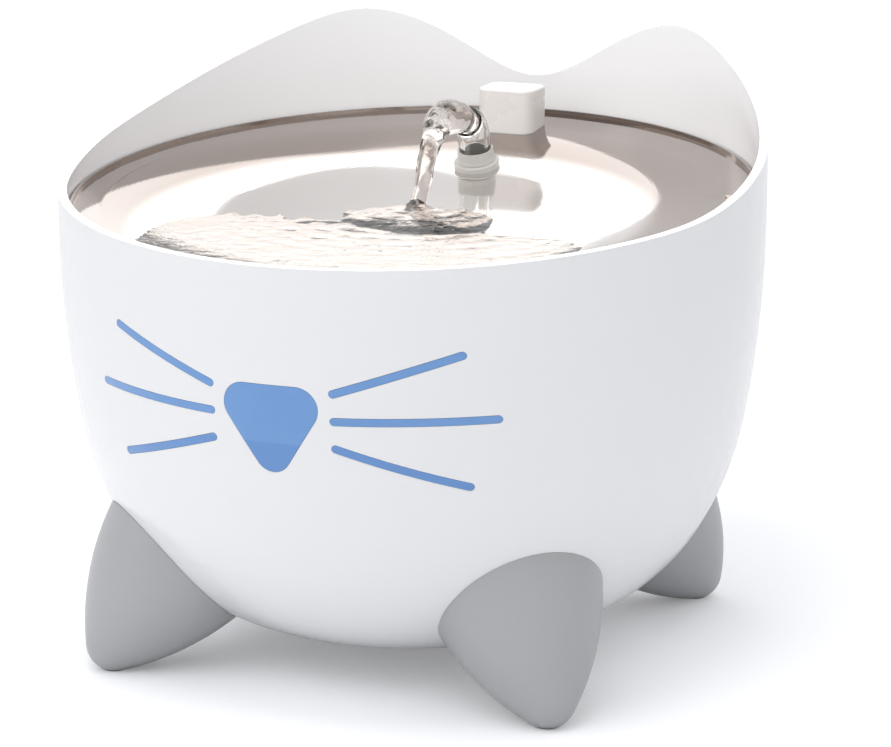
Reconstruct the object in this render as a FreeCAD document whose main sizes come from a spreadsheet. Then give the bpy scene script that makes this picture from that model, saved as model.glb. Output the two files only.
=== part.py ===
import FreeCAD, Part
import math
import os

from FreeCAD import Placement, Rotation, Vector

# Pet water fountain: a round bowl on four feet, with a tilted rim, two ears at the back,
# a polished dish, a leaning spout, and a pump with its filter inside the bowl.
# Frame: millimetres, +Z up, the front (the face) towards -Y, the origin on the floor
# under the middle of the bowl.

doc = FreeCAD.newDocument("pet_fountain")
sheet = doc.addObject("Spreadsheet::Sheet", "Sizes")

DRIVING_SIZES = [
    # bowl
    ("rim_radius", 130.0, "outer radius of the bowl at its rim"),
    ("rim_middle_height", 177.4, "height of the rim plane over the middle"),
    ("rim_rise", 0.0819, "rise of the rim plane per millimetre towards the back"),
    ("base_inset", 62.5, "distance by which the flat bottom is narrower than the rim"),
    ("base_height", 14.8, "height of the flat bottom over the floor"),
    ("lower_arc_radius", 78.2, "radius of the bowl's lower bend"),
    ("middle_arc_radius", 125.0, "radius of the bowl's middle bend"),
    ("base_slope", 19.4, "steepness of the side at the flat bottom, in degrees"),
    ("lower_slope", 61.0, "steepness where the lower bend ends, in degrees"),
    ("middle_slope", 80.0, "steepness where the middle bend ends, in degrees"),
    ("bowl_wall", 3.0, "thickness of the bowl"),
    ("lip_wall", 1.5, "thickness of the bowl beside the ring's skirt"),
    ("seam_drop", 2.0, "depth of the seam under the rim plane"),
    # ear ring
    ("ring_wall", 3.2, "thickness of the ring and its ears"),
    ("skirt_bottom_height", 142.0, "height of the skirt's lower edge"),
    ("skirt_gap", 0.3, "gap between the skirt and the bowl"),
    ("ear_peak_angle", 32.4, "angle of an ear's peak from the back, in degrees"),
    ("ear_valley_rise", 6.1, "height of the wall between the ears over the rim plane"),
    ("ear_inner_rise", 20.6, "height over the rim plane half way up the ear's inner side"),
    ("ear_peak_rise", 33.3, "height of an ear's peak over the rim plane"),
    ("ear_shoulder_rise", 27.5, "height over the rim plane at 45 degrees"),
    ("ear_side_rise", 17.5, "height over the rim plane at 60 degrees"),
    ("ear_flank_rise", 9.1, "height over the rim plane at 75 degrees"),
    ("ear_tail_rise", 4.0, "height over the rim plane at 90 degrees"),
    ("ledge_width", 10.2, "width of the ledge that carries the dish"),
    ("ledge_thickness", 2.0, "thickness of the ledge"),
    # dish
    ("dish_gap", 0.6, "gap between the dish and the ring"),
    ("dish_sheet", 0.8, "thickness of the dish's sheet"),
    ("dish_edge_depth", 7.0, "depth of the dish's edge under the rim plane"),
    ("flange_depth", 8.5, "depth of the dish's flange under the rim plane"),
    ("flange_width", 11.2, "width of the dish's flange, round the pan"),
    ("floor_depth", 16.55, "depth of the dish's floor under the rim plane"),
    ("floor_radius", 61.7, "radius of the flat floor"),
    ("back_shelf", 13.8, "width of the level shelf inside the flange, at the back"),
    ("floor_forward", 20.8, "distance of the floor's middle in front of the bowl's"),
    ("return_hole_radius", 2.4, "radius of a return hole"),
    ("return_hole_inset", 12.0, "distance of the return holes from the pan's edge"),
    ("return_hole_pitch", 7.5, "angle between return holes, in degrees"),
    ("gasket_width", 7.6, "width of the dish gasket"),
    ("gasket_thickness", 1.2, "thickness of the dish gasket"),
    # spout
    ("spout_reach", 83.9, "distance of the spout behind the dish's middle, along the dish"),
    ("hose_drop", 19.0, "distance of the hose's bend below the dish, along the stem"),
    ("hose_wall", 2.0, "wall of the outlet hose"),
    ("stem_radius", 5.5, "radius of the spout's stem"),
    ("stem_length", 15.0, "length of the stem below the dish"),
    ("spout_wall", 1.5, "wall of the spout"),
    ("spout_fit", 0.08, "running clearance round the stem"),
    ("dish_hole_radius", 7.2, "radius of the spout's hole in the dish"),
    ("grommet_radius", 8.7, "radius of the grommet's flanges"),
    ("grommet_flange", 2.6, "thickness of the grommet's upper flange"),
    ("grommet_foot", 2.0, "thickness of the grommet's lower flange"),
    ("collar_radius", 7.2, "radius of the spout's collar"),
    ("collar_height", 4.4, "height of the collar"),
    ("tube_radius", 6.2, "radius of the bent tube"),
    ("tube_straight", 12.5, "straight length of the tube over the dish"),
    ("tube_bend_radius", 9.0, "bend radius of the tube"),
    ("tube_bend_angle", 50.0, "angle of the tube's bend, in degrees"),
    ("mouth_length", 2.0, "straight length at the mouth"),
    # knob
    ("knob_width", 23.0, "width of the lifting knob"),
    ("knob_depth", 19.0, "depth of the lifting knob"),
    ("knob_top_height", 193.3, "height of the knob's top"),
    ("knob_inset", 13.5, "distance of the knob's middle from the pan's edge"),
    ("knob_corner", 4.5, "radius of the knob's upright corners"),
    ("knob_edge", 1.2, "radius round the knob's top"),
    ("knob_gasket_thickness", 0.6, "thickness of the gasket under the knob"),
    ("knob_screw_pitch", 11.0, "distance between the knob's screws"),
    ("knob_screw_offset", 4.0, "distance of the screws behind the knob's middle"),
    # face
    ("window_gap", 0.12, "gap round each window"),
    ("nose_upper_height", 117.6, "height of the nose's upper corners' middles"),
    ("nose_upper_offset", 9.6, "distance of those middles from the centre line"),
    ("nose_upper_radius", 8.0, "radius of the nose's upper corners"),
    ("nose_lower_height", 100.6, "height of the nose's lower corner's middle"),
    ("nose_lower_radius", 6.8, "radius of the nose's lower corner"),
    ("whisker_width", 3.0, "width of a whisker window"),
    ("whisker_start", 22.9, "distance of a whisker's near end from the centre line"),
    # feet
    ("foot_angle", 45.8, "angle of the front feet from the front, in degrees"),
    ("foot_root_inset", 42.9, "distance of the foot's root inside the rim"),
    ("foot_root_height", 46.4, "height of the foot's root"),
    ("foot_lean", 40.1, "lean of the foot's axis from upright, in degrees"),
    ("foot_root_radius", 32.9, "radius of the foot at its root"),
    ("foot_side_bend", 99.6, "radius of the bend of the foot's side"),
    ("foot_neck_radius", 7.6, "radius of the foot where its round tip begins"),
    ("foot_neck_reach", 55.2, "distance of that place from the root, along the axis"),
    ("foot_tip_bend", 10.3, "radius of the foot's round tip"),
    ("foot_gap", 0.1, "gap between a foot and the bowl"),
    ("pad_radius", 4.3, "radius of the pad under a foot"),
    ("pad_thickness", 1.6, "thickness of the pad"),
    ("pad_proud", 0.4, "height by which the pad stands out of the foot"),
    ("screw_radius", 1.5, "radius of the fixing screws"),
    ("screw_head_radius", 2.9, "radius of the screws' heads"),
    ("screw_head_height", 1.8, "height of the screws' heads"),
    ("foot_screw_offset", 4.9, "distance of the foot screw from the foot's root"),
    ("foot_screw_depth", 15.0, "height of the foot screw's head over the floor"),
    ("foot_boss_radius", 4.6, "radius of the boss that a foot screw enters"),
    ("foot_boss_height", 47.0, "height of that boss's top"),
    # pump box and filter
    ("box_half_width", 27.0, "half the width of the pump box"),
    ("box_front", 22.0, "distance of the box's front behind the middle"),
    ("box_behind_outlet", 13.8, "distance of the box's back behind the pump's outlet"),
    ("box_floor_height", 30.5, "height of the box's underside"),
    ("box_top_height", 76.5, "height of the box's open top"),
    ("box_wall", 1.8, "wall of the pump box"),
    ("box_lid_thickness", 2.0, "thickness of the box's lid"),
    ("cup_radius", 7.0, "radius of a suction cup's skirt"),
    ("cup_side", 21.7, "distance of a suction cup from the centre line"),
    ("cup_row_front", 30.0, "distance of the front pair of cups behind the middle"),
    ("cup_row_back", 54.0, "distance of the rear pair of cups behind the middle"),
    ("filter_depth", 8.0, "thickness of the filter frame"),
    ("filter_gap", 0.4, "gap between the filter frame and its rails"),
    ("filter_border", 4.0, "width of the filter frame round its pads"),
    ("filter_rise", 4.0, "height by which the filter frame stands over the box"),
    ("pad_sheet", 2.6, "thickness of each filter pad"),
    # pump
    ("outlet_bore", 4.0, "radius of the bore of the pump's outlet"),
    ("outlet_radius", 5.5, "outer radius of the pump's outlet"),
    ("outlet_top_height", 92.0, "height of the top of the pump's outlet"),
    ("pump_axis_height", 53.0, "height of the impeller's axis"),
    ("chamber_radius", 14.5, "radius of the impeller chamber"),
    ("shaft_radius", 1.0, "radius of the impeller's shaft"),
    ("shaft_fit", 0.05, "running clearance round the shaft"),
    ("rotor_radius", 6.0, "radius of the rotor magnet"),
    ("impeller_radius", 12.0, "radius of the impeller"),
    ("blade_count", 6, "number of impeller blades"),
    # cord outlet
    ("cord_bore", 2.2, "radius of the cord grommet's bore"),
    ("cord_drop", 11.0, "distance of the cord grommet under the skirt"),
]
for row, (name, value, note) in enumerate(DRIVING_SIZES, start=1):
    sheet.set(f"A{row}", note)
    sheet.set(f"B{row}", str(value))
    sheet.setAlias(f"B{row}", name)
doc.recompute()


class Size:
    """A number of the sheet, or a sum of such numbers, with the expression that gives it."""

    def __init__(self, value, text):
        self.value = float(value)
        self.text = text

    def __add__(self, other):
        other = as_size(other)
        return Size(self.value + other.value, f"({self.text} + {other.text})")

    def __sub__(self, other):
        other = as_size(other)
        return Size(self.value - other.value, f"({self.text} - {other.text})")

    def __mul__(self, other):
        other = as_size(other)
        return Size(self.value * other.value, f"({self.text} * {other.text})")

    def __truediv__(self, other):
        other = as_size(other)
        return Size(self.value / other.value, f"({self.text} / {other.text})")

    def __radd__(self, other):
        return as_size(other) + self

    def __rsub__(self, other):
        return as_size(other) - self

    def __rmul__(self, other):
        return as_size(other) * self

    def __neg__(self):
        return Size(-self.value, f"(0 - {self.text})")

    def __float__(self):
        return self.value


def as_size(number):
    """A Size as it is, or a plain number as a Size."""
    if isinstance(number, Size):
        return number
    return Size(number, f"({float(number):.6f})")


def sine(angle):
    """The sine of an angle in degrees."""
    return Size(math.sin(math.radians(angle.value)), f"sin({angle.text})")


def cosine(angle):
    """The cosine of an angle in degrees."""
    return Size(math.cos(math.radians(angle.value)), f"cos({angle.text})")


def root(number):
    """A square root."""
    return Size(math.sqrt(number.value), f"sqrt({number.text})")


class Sizes:
    """The sheet's cells by name."""

    def __getattr__(self, name):
        return Size(sheet.get(name), f"Sizes.{name}")


S = Sizes()
FAR = 300.0  # reach of a cutting block, past the whole fountain


def bind(item, **values):
    """Set properties of an object to expressions on the sheet."""
    for name, value in values.items():
        value = as_size(value)
        setattr(item, name, value.value)
        if "Sizes." in value.text:
            item.setExpression(name, value.text)


def place(item, x=0.0, y=0.0, z=0.0, turn=None):
    """Place an object: its turn is fixed, and its position follows the sheet."""
    spot = [as_size(number) for number in (x, y, z)]
    item.Placement = Placement(Vector(*[number.value for number in spot]), turn or Rotation())
    for letter, number in zip("xyz", spot):
        if "Sizes." in number.text:
            item.setExpression(f"Placement.Base.{letter}", number.text)


def cylinder(name, radius, height, x=0.0, y=0.0, z=0.0, turn=None):
    item = doc.addObject("Part::Cylinder", name)
    bind(item, Radius=radius, Height=height)
    place(item, x, y, z, turn)
    return item


def block(name, length, width, height, x=0.0, y=0.0, z=0.0, turn=None):
    item = doc.addObject("Part::Box", name)
    bind(item, Length=length, Width=width, Height=height)
    place(item, x, y, z, turn)
    return item


def cut(name, base, tool):
    item = doc.addObject("Part::Cut", name)
    item.Base = base
    item.Tool = tool
    return item


def common(name, base, tool):
    item = doc.addObject("Part::Common", name)
    item.Base = base
    item.Tool = tool
    return item


def fuse(name, *pieces):
    item = doc.addObject("Part::MultiFuse", name)
    item.Shapes = list(pieces)
    return item


def group(name, *pieces):
    """Several solids in one part."""
    item = doc.addObject("Part::Compound", name)
    item.Links = list(pieces)
    return item


def origin_plane(body, role):
    return [part for part in body.Origin.OriginFeatures if part.Role == role][0]


def sketch_on(body, role, name):
    sketch = body.newObject("Sketcher::SketchObject", name)
    sketch.AttachmentSupport = (origin_plane(body, role), [""])
    sketch.MapMode = "FlatFace"
    return sketch


def draw(sketch, corners):
    """Draw a closed outline. A corner is (x, y) or (x, y, radius): the radius bends the side
    that leaves it, to the left of its run when positive and to the right when negative."""
    import Sketcher
    count = len(corners)
    spots = [(as_size(corner[0]), as_size(corner[1])) for corner in corners]
    for index, corner in enumerate(corners):
        start = Vector(spots[index][0].value, spots[index][1].value, 0)
        after = spots[(index + 1) % count]
        end = Vector(after[0].value, after[1].value, 0)
        if len(corner) == 2:
            sketch.addGeometry(Part.LineSegment(start, end), False)
            continue
        bend = as_size(corner[2])
        middle = (start + end) * 0.5
        half = (end - start).Length / 2
        left = Vector(-(end - start).y, (end - start).x, 0).normalize()
        rise = abs(bend.value) - math.sqrt(bend.value ** 2 - half ** 2)
        side = -1.0 if bend.value > 0 else 1.0
        sketch.addGeometry(Part.Arc(start, middle + left * (rise * side), end), False)
    ends = []
    for index in range(count):
        first = sketch.getPoint(index, 1)
        start = Vector(spots[index][0].value, spots[index][1].value, 0)
        ends.append((1, 2) if (first - start).Length < 1e-6 else (2, 1))
    for index in range(count):
        after = (index + 1) % count
        sketch.addConstraint(Sketcher.Constraint(
            "Coincident", index, ends[index][1], after, ends[after][0]))
    for index, (x, y) in enumerate(spots):
        for kind, number in (("DistanceX", x), ("DistanceY", y)):
            if abs(number.value) < 1e-9 and "Sizes." not in number.text:
                other = "PointOnObject"
                axis = -2 if kind == "DistanceX" else -1
                sketch.addConstraint(Sketcher.Constraint(other, index, ends[index][0], axis))
                continue
            place_in_list = sketch.addConstraint(Sketcher.Constraint(
                kind, -1, 1, index, ends[index][0], number.value))
            if "Sizes." in number.text:
                sketch.setExpression(f"Constraints[{place_in_list}]", number.text)
    for index, corner in enumerate(corners):
        if len(corner) == 3:
            bend = as_size(corner[2])
            size = bend if bend.value > 0 else -bend
            place_in_list = sketch.addConstraint(Sketcher.Constraint("Radius", index, size.value))
            if "Sizes." in size.text:
                sketch.setExpression(f"Constraints[{place_in_list}]", size.text)


def turned(name, corners, x=0.0, y=0.0, z=0.0, turn=None):
    """A body turned round its own Z axis. Its corners are (radius, height)."""
    body = doc.addObject("PartDesign::Body", name)
    sketch = sketch_on(body, "XZ_Plane", name + "_profile")
    draw(sketch, corners)
    turning = body.newObject("PartDesign::Revolution", name + "_turning")
    turning.Profile = sketch
    turning.ReferenceAxis = (sketch, ["V_Axis"])
    turning.Angle = 360.0
    sketch.Visibility = False
    place(body, x, y, z, turn)
    return body


def extruded(name, role, corners, length, both_ways=False, backwards=False,
             x=0.0, y=0.0, z=0.0, turn=None):
    """A body padded from an outline on one of its own planes."""
    body = doc.addObject("PartDesign::Body", name)
    sketch = sketch_on(body, role, name + "_outline")
    draw(sketch, corners)
    pad = body.newObject("PartDesign::Pad", name + "_pad")
    pad.Profile = sketch
    bind(pad, Length=length)
    pad.Midplane = both_ways
    pad.Reversed = backwards
    sketch.Visibility = False
    place(body, x, y, z, turn)
    return body


def from_shape(name, shape):
    """A part whose shape is made with Part's own functions."""
    item = doc.addObject("Part::Feature", name)
    item.Shape = shape
    return item


def rectangle(left, bottom, right, top):
    return [(left, bottom), (right, bottom), (right, top), (left, top)]


PARTS = []


def keep(item, label):
    """Mark an object as a finished part and give it its name."""
    item.Label = label
    PARTS.append(item)
    return item


# Tilted frame of the rim: the dish, its gasket and its ledge lie parallel to the rim.
RIM_TILT = Rotation(Vector(1, 0, 0), math.degrees(math.atan(S.rim_rise.value)))
RIM_SECANT = root(1 + S.rim_rise * S.rim_rise)


def rim_height(y):
    """Height of the rim plane at a distance y behind the middle."""
    return S.rim_middle_height + S.rim_rise * y


def tilted_slab(name, upper_depth, lower_depth):
    """A wide slab between two depths under the rim plane, measured square to it."""
    upper_depth = upper_depth * RIM_SECANT
    lower_depth = lower_depth * RIM_SECANT
    return extruded(name, "YZ_Plane", [
        (-FAR, rim_height(as_size(-FAR)) - lower_depth),
        (FAR, rim_height(as_size(FAR)) - lower_depth),
        (FAR, rim_height(as_size(FAR)) - upper_depth),
        (-FAR, rim_height(as_size(-FAR)) - upper_depth),
    ], 2 * FAR, both_ways=True)


def shell(name, outer, inner, bottom, height):
    """An upright round wall."""
    return cut(name, cylinder(name + "_outside", outer, height, z=bottom),
               cylinder(name + "_inside", inner, height, z=bottom))


# Bowl: three bends that meet without a kink, from the flat bottom to the upright rim.
base_radius = S.rim_radius - S.base_inset
lower_end_radius = base_radius + S.lower_arc_radius * (sine(S.lower_slope) - sine(S.base_slope))
lower_end_height = S.base_height + S.lower_arc_radius * (cosine(S.base_slope) - cosine(S.lower_slope))
middle_end_radius = lower_end_radius + S.middle_arc_radius * (
    sine(S.middle_slope) - sine(S.lower_slope))
middle_end_height = lower_end_height + S.middle_arc_radius * (
    cosine(S.lower_slope) - cosine(S.middle_slope))
upper_arc_radius = (S.rim_radius - middle_end_radius) / (1 - sine(S.middle_slope))
upper_end_height = middle_end_height + upper_arc_radius * cosine(S.middle_slope)
ABOVE_RIM = 300.0  # height above everything


def bowl_side(inset):
    """The side of the bowl from the bottom up, moved inwards by an inset."""
    return [
        (base_radius - inset * sine(S.base_slope), S.base_height + inset * cosine(S.base_slope),
         S.lower_arc_radius - inset),
        (lower_end_radius - inset * sine(S.lower_slope),
         lower_end_height + inset * cosine(S.lower_slope), S.middle_arc_radius - inset),
        (middle_end_radius - inset * sine(S.middle_slope),
         middle_end_height + inset * cosine(S.middle_slope), upper_arc_radius - inset),
        (S.rim_radius - inset, upper_end_height),
    ]


def bowl_block(name, inset, top):
    """The bowl as if it were solid, with its side moved inwards by an inset."""
    side = bowl_side(as_size(inset))
    return turned(name, [(0, side[0][1])] + side + [(side[-1][0], top), (0, top)])


def above_seam(name):
    """Everything over the seam between the bowl and the ring."""
    return tilted_slab(name, as_size(-FAR), S.seam_drop)


skirt_outer = S.rim_radius - S.lip_wall - S.skirt_gap
bowl_shell = cut("bowl_shell", bowl_block("bowl_outside", 0.0, ABOVE_RIM),
                 bowl_block("bowl_inside", S.bowl_wall, ABOVE_RIM + 1))
rebate = cylinder("bowl_rebate", S.rim_radius - S.lip_wall, FAR,
                  z=S.skirt_bottom_height - S.skirt_gap)


foot_middle = S.rim_radius - S.foot_root_inset
foot_screw_circle = foot_middle + S.foot_screw_offset
FOOT_NAMES = ["front_left", "front_right", "rear_right", "rear_left"]
FOOT_TURNS = [-90 - S.foot_angle.value, -90 + S.foot_angle.value,
              90 - S.foot_angle.value, 90 + S.foot_angle.value]

bosses = []
boss_holes = []
for foot_name, foot_turn in zip(FOOT_NAMES, FOOT_TURNS):
    reach = foot_screw_circle
    along_x = reach * math.cos(math.radians(foot_turn))
    along_y = reach * math.sin(math.radians(foot_turn))
    bosses.append(cylinder(f"boss_{foot_name}", S.foot_boss_radius,
                           S.foot_boss_height - S.base_height, along_x, along_y, S.base_height))
    boss_holes.append(cylinder(f"boss_hole_{foot_name}", S.screw_radius + 0.05,
                               S.foot_boss_height - 2 - S.base_height,
                               along_x, along_y, S.base_height))
inside_bosses = common("inside_bosses", fuse("all_bosses", *bosses),
                       bowl_block("boss_limit", S.bowl_wall / 2, S.skirt_bottom_height))
grommet_turn = Rotation(Vector(1, 0, 0), -90)
cord_height = S.skirt_bottom_height - S.cord_drop
cord_hole = cylinder("cord_hole", S.cord_bore + 2.0, 60.0, 0.0, S.rim_radius - 40.0,
                     cord_height, grommet_turn)


# Face: the nose is three rounded corners in one outline, and each whisker is a long slot.
def outline_round(circles):
    """A wire that runs round a list of (x, z, radius) circles, given in turn against the clock."""
    edges = []
    count = len(circles)
    tangents = []
    for index in range(count):
        x0, z0, r0 = circles[index]
        x1, z1, r1 = circles[(index + 1) % count]
        away = math.atan2(z1 - z0, x1 - x0)
        lean = math.acos((r0 - r1) / math.hypot(x1 - x0, z1 - z0))
        angle = away - lean
        tangents.append((angle, Vector(x0 + r0 * math.cos(angle), 0, z0 + r0 * math.sin(angle)),
                         Vector(x1 + r1 * math.cos(angle), 0, z1 + r1 * math.sin(angle))))
    for index in range(count):
        angle, start, end = tangents[index]
        after, next_start, _ = tangents[(index + 1) % count]
        x1, z1, r1 = circles[(index + 1) % count]
        middle = angle + ((after - angle) % (2 * math.pi)) / 2
        edges.append(Part.LineSegment(start, end).toShape())
        edges.append(Part.Arc(end, Vector(x1 + r1 * math.cos(middle), 0,
                                          z1 + r1 * math.sin(middle)), next_start).toShape())
    return Part.Wire(edges)


def front_prism(circles):
    """A rounded outline pushed through the front of the bowl."""
    prism = Part.Face(outline_round(circles)).extrude(Vector(0, FAR, 0))
    prism.translate(Vector(0, -FAR, 0))
    return prism


# A whisker is (name, height of the near end, sideways reach, height of the far end).
WHISKERS = [("upper", 123.8, 41.5, 137.8), ("middle", 113.9, 51.2, 114.7),
            ("lower", 104.0, 41.8, 90.5)]


def nose_circles(gap):
    upper = S.nose_upper_radius.value - gap
    return [(S.nose_upper_offset.value, S.nose_upper_height.value, upper),
            (-S.nose_upper_offset.value, S.nose_upper_height.value, upper),
            (0.0, S.nose_lower_height.value, S.nose_lower_radius.value - gap)]


def whisker_circles(side, near_height, reach, far_height, gap):
    radius = S.whisker_width.value / 2 - gap
    near = (side * S.whisker_start.value, near_height, radius)
    far = (side * (S.whisker_start.value + reach), far_height, radius)
    return [near, far]


window_list = [("nose_window", nose_circles)]
for side_name, side in (("left", -1), ("right", 1)):
    for whisker_name, near_height, reach, far_height in WHISKERS:
        window_list.append((
            f"whisker_{side_name}_{whisker_name}",
            lambda gap, side=side, near=near_height, reach=reach, far=far_height:
                whisker_circles(side, near, reach, far, gap)))

doc.recompute()
window_holes = []
for window_name, circles in window_list:
    hole = from_shape(window_name + "_hole", front_prism(circles(0.0)))
    window_holes.append(hole)
    plate = bowl_shell.Shape.common(front_prism(circles(S.window_gap.value)))
    keep(from_shape(window_name + "_plate", plate), window_name)

reservoir_bowl = keep(cut("reservoir_bowl_cut", fuse("bowl_with_bosses", cut(
    "bowl_open", bowl_shell, fuse("bowl_tools", rebate, above_seam("over_bowl"), cord_hole,
                                  *window_holes)), inside_bosses),
    fuse("boss_bores", *boss_holes)), "reservoir_bowl")

# Cord grommet: a soft ring in the back of the bowl, where the pump's lead leaves. It grips
# both faces of the wall.
grommet_back = S.rim_radius - S.bowl_wall - 2.7
keep(cut("cord_grommet_cut", turned("cord_grommet_body", rectangle(
    S.cord_bore, 0, S.cord_bore + 3.4, S.rim_radius - 0.1 - grommet_back),
    0.0, grommet_back, cord_height, grommet_turn), reservoir_bowl), "cord_grommet")

# Feet: each is a body turned round its own leaning axis and hollowed to the bowl's side.
foot_turn_down = Rotation(Vector(0, 1, 0), 180 - S.foot_lean.value)
tip_middle = S.foot_neck_reach - root(
    S.foot_tip_bend * S.foot_tip_bend - S.foot_neck_radius * S.foot_neck_radius)
foot_raw = turned("foot_raw", [
    (0, 0), (S.foot_root_radius, 0, S.foot_side_bend),
    (S.foot_neck_radius, S.foot_neck_reach, S.foot_tip_bend), (0, tip_middle + S.foot_tip_bend)],
    foot_middle, 0.0, S.foot_root_height, foot_turn_down)
pad_reach = foot_middle + tip_middle * sine(S.foot_lean)
foot_tools = fuse(
    "foot_tools", bowl_block("foot_seat", -S.foot_gap, S.skirt_bottom_height),
    block("foot_under", FAR, FAR, S.pad_proud + 50, 0, -FAR / 2, -50.0),
    cylinder("foot_pad_seat", S.pad_radius + 0.1, S.pad_thickness, pad_reach, 0.0, 0.0),
    cylinder("foot_screw_bore", S.screw_radius + 0.2, FAR / 2, foot_screw_circle, 0.0, 0.0),
    cylinder("foot_screw_well", S.screw_head_radius + 0.4, S.foot_screw_depth,
             foot_screw_circle, 0.0, 0.0))
foot_master = cut("foot_master", foot_raw, foot_tools)
doc.recompute()
pad_list = []
foot_screws = []
for foot_name, foot_turn in zip(FOOT_NAMES, FOOT_TURNS):
    shape = foot_master.Shape.copy()
    shape.rotate(Vector(), Vector(0, 0, 1), foot_turn)
    keep(from_shape(f"foot_{foot_name}_shape", shape), f"foot_{foot_name}")
    cos_turn = math.cos(math.radians(foot_turn))
    sin_turn = math.sin(math.radians(foot_turn))
    pad_list.append(cylinder(f"pad_{foot_name}", S.pad_radius, S.pad_thickness,
                             pad_reach * cos_turn, pad_reach * sin_turn, 0.0))
    screw_x = foot_screw_circle * cos_turn
    screw_y = foot_screw_circle * sin_turn
    foot_screws.append(turned(f"foot_screw_{foot_name}", [
        (0, 0), (S.screw_head_radius, 0), (S.screw_head_radius, S.screw_head_height),
        (S.screw_radius, S.screw_head_height),
        (S.screw_radius, S.foot_boss_height - S.foot_screw_depth - 4.0),
        (0, S.foot_boss_height - S.foot_screw_depth - 3.0)],
        screw_x, screw_y, S.foot_screw_depth - S.screw_head_height))
keep(group("foot_pads_group", *pad_list), "foot_pads")
keep(group("foot_screws_group", *foot_screws), "foot_screws")

# Ear ring: an upright wall whose top edge climbs to two ears at the back. Its skirt drops
# inside the bowl and carries the ledge on which the dish rests.
ring_inner = S.rim_radius - S.ring_wall
EAR_OUTLINE = [(0.0, S.ear_valley_rise), (15.0, S.ear_inner_rise),
               (S.ear_peak_angle.value, S.ear_peak_rise), (45.0, S.ear_shoulder_rise),
               (60.0, S.ear_side_rise), (75.0, S.ear_flank_rise), (90.0, S.ear_tail_rise),
               (105.0, as_size(0.5))] + [(angle, as_size(0.0)) for angle in (120.0, 135.0, 150.0,
                                                                            165.0, 180.0)]


def top_edge(radius):
    """The ring's top edge as a closed curve at a radius. It has the same rise on both sides."""
    outline = [(-angle, rise) for angle, rise in EAR_OUTLINE[-2:0:-1]] + EAR_OUTLINE
    spots = []
    for angle, rise in outline:
        x = radius * math.sin(math.radians(angle))
        y = radius * math.cos(math.radians(angle))
        spots.append(Vector(x, y, rim_height(as_size(y)).value + rise.value))
    curve = Part.BSplineCurve()
    curve.interpolate(spots, PeriodicFlag=True)
    return curve.toShape()


def under_top_edge():
    """A round block, wider than the ring's wall, whose top follows the top edge."""
    crest = Part.makeRuledSurface(top_edge(ring_inner.value - 4.0),
                                  top_edge(S.rim_radius.value + 4.0))
    return crest.extrude(Vector(0, 0, -FAR / 2))


ring_wall = common("ring_wall", shell("ring_shell", S.rim_radius, ring_inner,
                                      S.skirt_bottom_height, FAR / 2),
                   from_shape("under_top_edge_block", under_top_edge()))
ring_top = common("ring_top", ring_wall, above_seam("over_seam"))
skirt = cut("skirt", shell("skirt_shell", skirt_outer, ring_inner, S.skirt_bottom_height,
                           FAR / 2), tilted_slab("over_skirt", as_size(-FAR), S.seam_drop - 0.5))
ledge_top = S.flange_depth + S.dish_sheet + S.gasket_thickness
ledge = common("ledge", shell("ledge_shell", ring_inner + 0.5, ring_inner - S.ledge_width,
                              S.skirt_bottom_height, FAR / 2),
               tilted_slab("ledge_slab", ledge_top, ledge_top + S.ledge_thickness))
keep(fuse("ear_ring_fused", ring_top, skirt, ledge), "ear_ring")

# Dish: a pressed sheet whose nearly flat floor is set towards the front and rises to a flange.
dish_radius = ring_inner - S.dish_gap
pan_radius = dish_radius - S.flange_width
slope_end_radius = pan_radius + S.floor_forward - S.back_shelf
rise_run = slope_end_radius - S.floor_radius


dish_below = S.rim_middle_height - 50.0  # height under the whole dish


def pan(name, sink, top_depth):
    """The dish's hollow, or its outside when sunk by the sheet, up to a depth under the rim."""
    climb = S.floor_depth - S.flange_depth
    bend = (rise_run * rise_run + climb * climb) / (4 * climb)
    half_run = rise_run / 2
    return turned(name, [
        (0, -S.floor_depth - sink), (S.floor_radius, -S.floor_depth - sink, bend + sink),
        (S.floor_radius + half_run, -(S.floor_depth + S.flange_depth) / 2 - sink, -(bend - sink)),
        (slope_end_radius, -S.flange_depth - sink), (FAR, -S.flange_depth - sink),
        (FAR, -top_depth), (0, -top_depth)],
        0.0, -S.floor_forward, rim_height(-S.floor_forward), RIM_TILT)


dish_block = fuse(
    "dish_block",
    common("dish_pan_block", pan("dish_pan_outside", S.dish_sheet, S.dish_edge_depth),
           cylinder("dish_pan_limit", pan_radius + S.dish_sheet, FAR, z=dish_below)),
    common("dish_flange_block", tilted_slab("dish_flange_slab", S.dish_edge_depth,
                                            S.flange_depth + S.dish_sheet),
           cylinder("dish_flange_limit", dish_radius, FAR, z=dish_below)))
dish_hollow = fuse(
    "dish_hollow",
    common("dish_pan_hollow", pan("dish_pan_inside", as_size(0.0), as_size(-40.0)),
           cylinder("dish_hollow_limit", pan_radius, FAR, z=dish_below)),
    common("dish_flange_hollow", tilted_slab("dish_rim_slab", as_size(-40.0), S.flange_depth),
           cylinder("dish_rim_limit", dish_radius - S.dish_sheet, FAR, z=dish_below)))

# Spout's axis: it stands square to the dish where it passes through it.
climb = (S.floor_depth - S.flange_depth).value
bend_radius = (rise_run.value ** 2 + climb ** 2) / (4 * climb)
slope_angle = math.asin((S.spout_reach - S.floor_radius).value / bend_radius)
floor_rise = bend_radius * (1 - math.cos(slope_angle))
DISH_PLACE = Placement(Vector(0, -S.floor_forward.value, rim_height(-S.floor_forward).value),
                       RIM_TILT)
SPOUT_PLACE = DISH_PLACE.multiply(Placement(
    Vector(0, S.spout_reach.value, floor_rise - S.floor_depth.value),
    Rotation(Vector(1, 0, 0), math.degrees(slope_angle))))


def at_spout(item):
    item.Placement = SPOUT_PLACE.multiply(item.Placement)
    return item


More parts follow.
